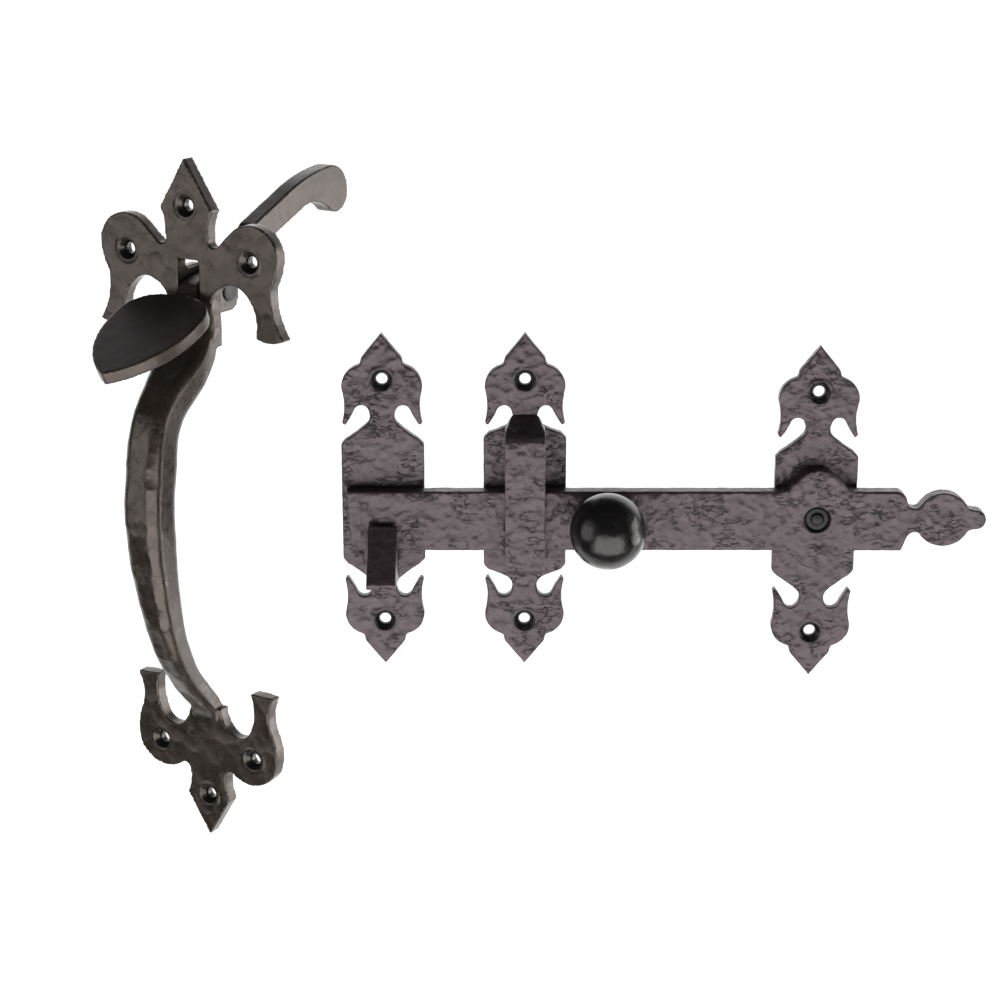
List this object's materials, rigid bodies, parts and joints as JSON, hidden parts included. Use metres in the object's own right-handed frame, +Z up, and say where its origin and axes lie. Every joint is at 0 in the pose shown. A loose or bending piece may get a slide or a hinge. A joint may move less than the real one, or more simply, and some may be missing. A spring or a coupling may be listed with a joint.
{
  "type": "thumb latch",
  "caption": "Suffolk thumb latch: pull handle with leaf thumb lever, and a knobbed latch bar with pivot, guide and catch plates.",
  "frame": {"origin": "on the latch bar's pivot axis, at the back face of the pivot plate", "axes": "+X along the bar towards its finial, +Y into the door, +Z up; the handle unit is turned 30 degrees about Z"},
  "size_m": [0.2813, 0.1112, 0.225],
  "materials": {
    "hammered_iron_handle": "black paint, satin, soft hammered",
    "hammered_iron_plate": "black paint, satin, rough hammered",
    "smooth_iron": "black paint, satin, smooth",
    "polished_iron": "black paint, gloss",
    "steel_pin": "black paint, worn at the end"
  },
  "bodies": {
    "root": {"handle_casting": "hammered_iron_handle", "lever_pivot_pin": "steel_pin", "catch_plate": "hammered_iron_plate", "catch_hook": "hammered_iron_plate", "guide_plate": "hammered_iron_plate", "guide_staple": "hammered_iron_plate", "pivot_plate": "hammered_iron_plate", "bar_pivot_rivet": "steel_pin"},
    "bar": {"latch_bar": "hammered_iron_plate", "knob": "polished_iron", "knob_stem": "steel_pin"},
    "lever": {"thumb_lever": "smooth_iron"}
  },
  "joints": [
    {"name": "bar_pivot", "type": "hinge", "parent": "root", "child": "bar", "pos_m": [0, -0.0073, 0], "axis": [0, 1, 0], "range_deg": [0, 6.5]},
    {"name": "thumb_lever_pivot", "type": "hinge", "parent": "root", "child": "lever", "pos_m": [-0.1915, 0.00273, 0.0722], "axis": [-0.866, 0.5, 0], "range_deg": [0, 18]}
  ]
}
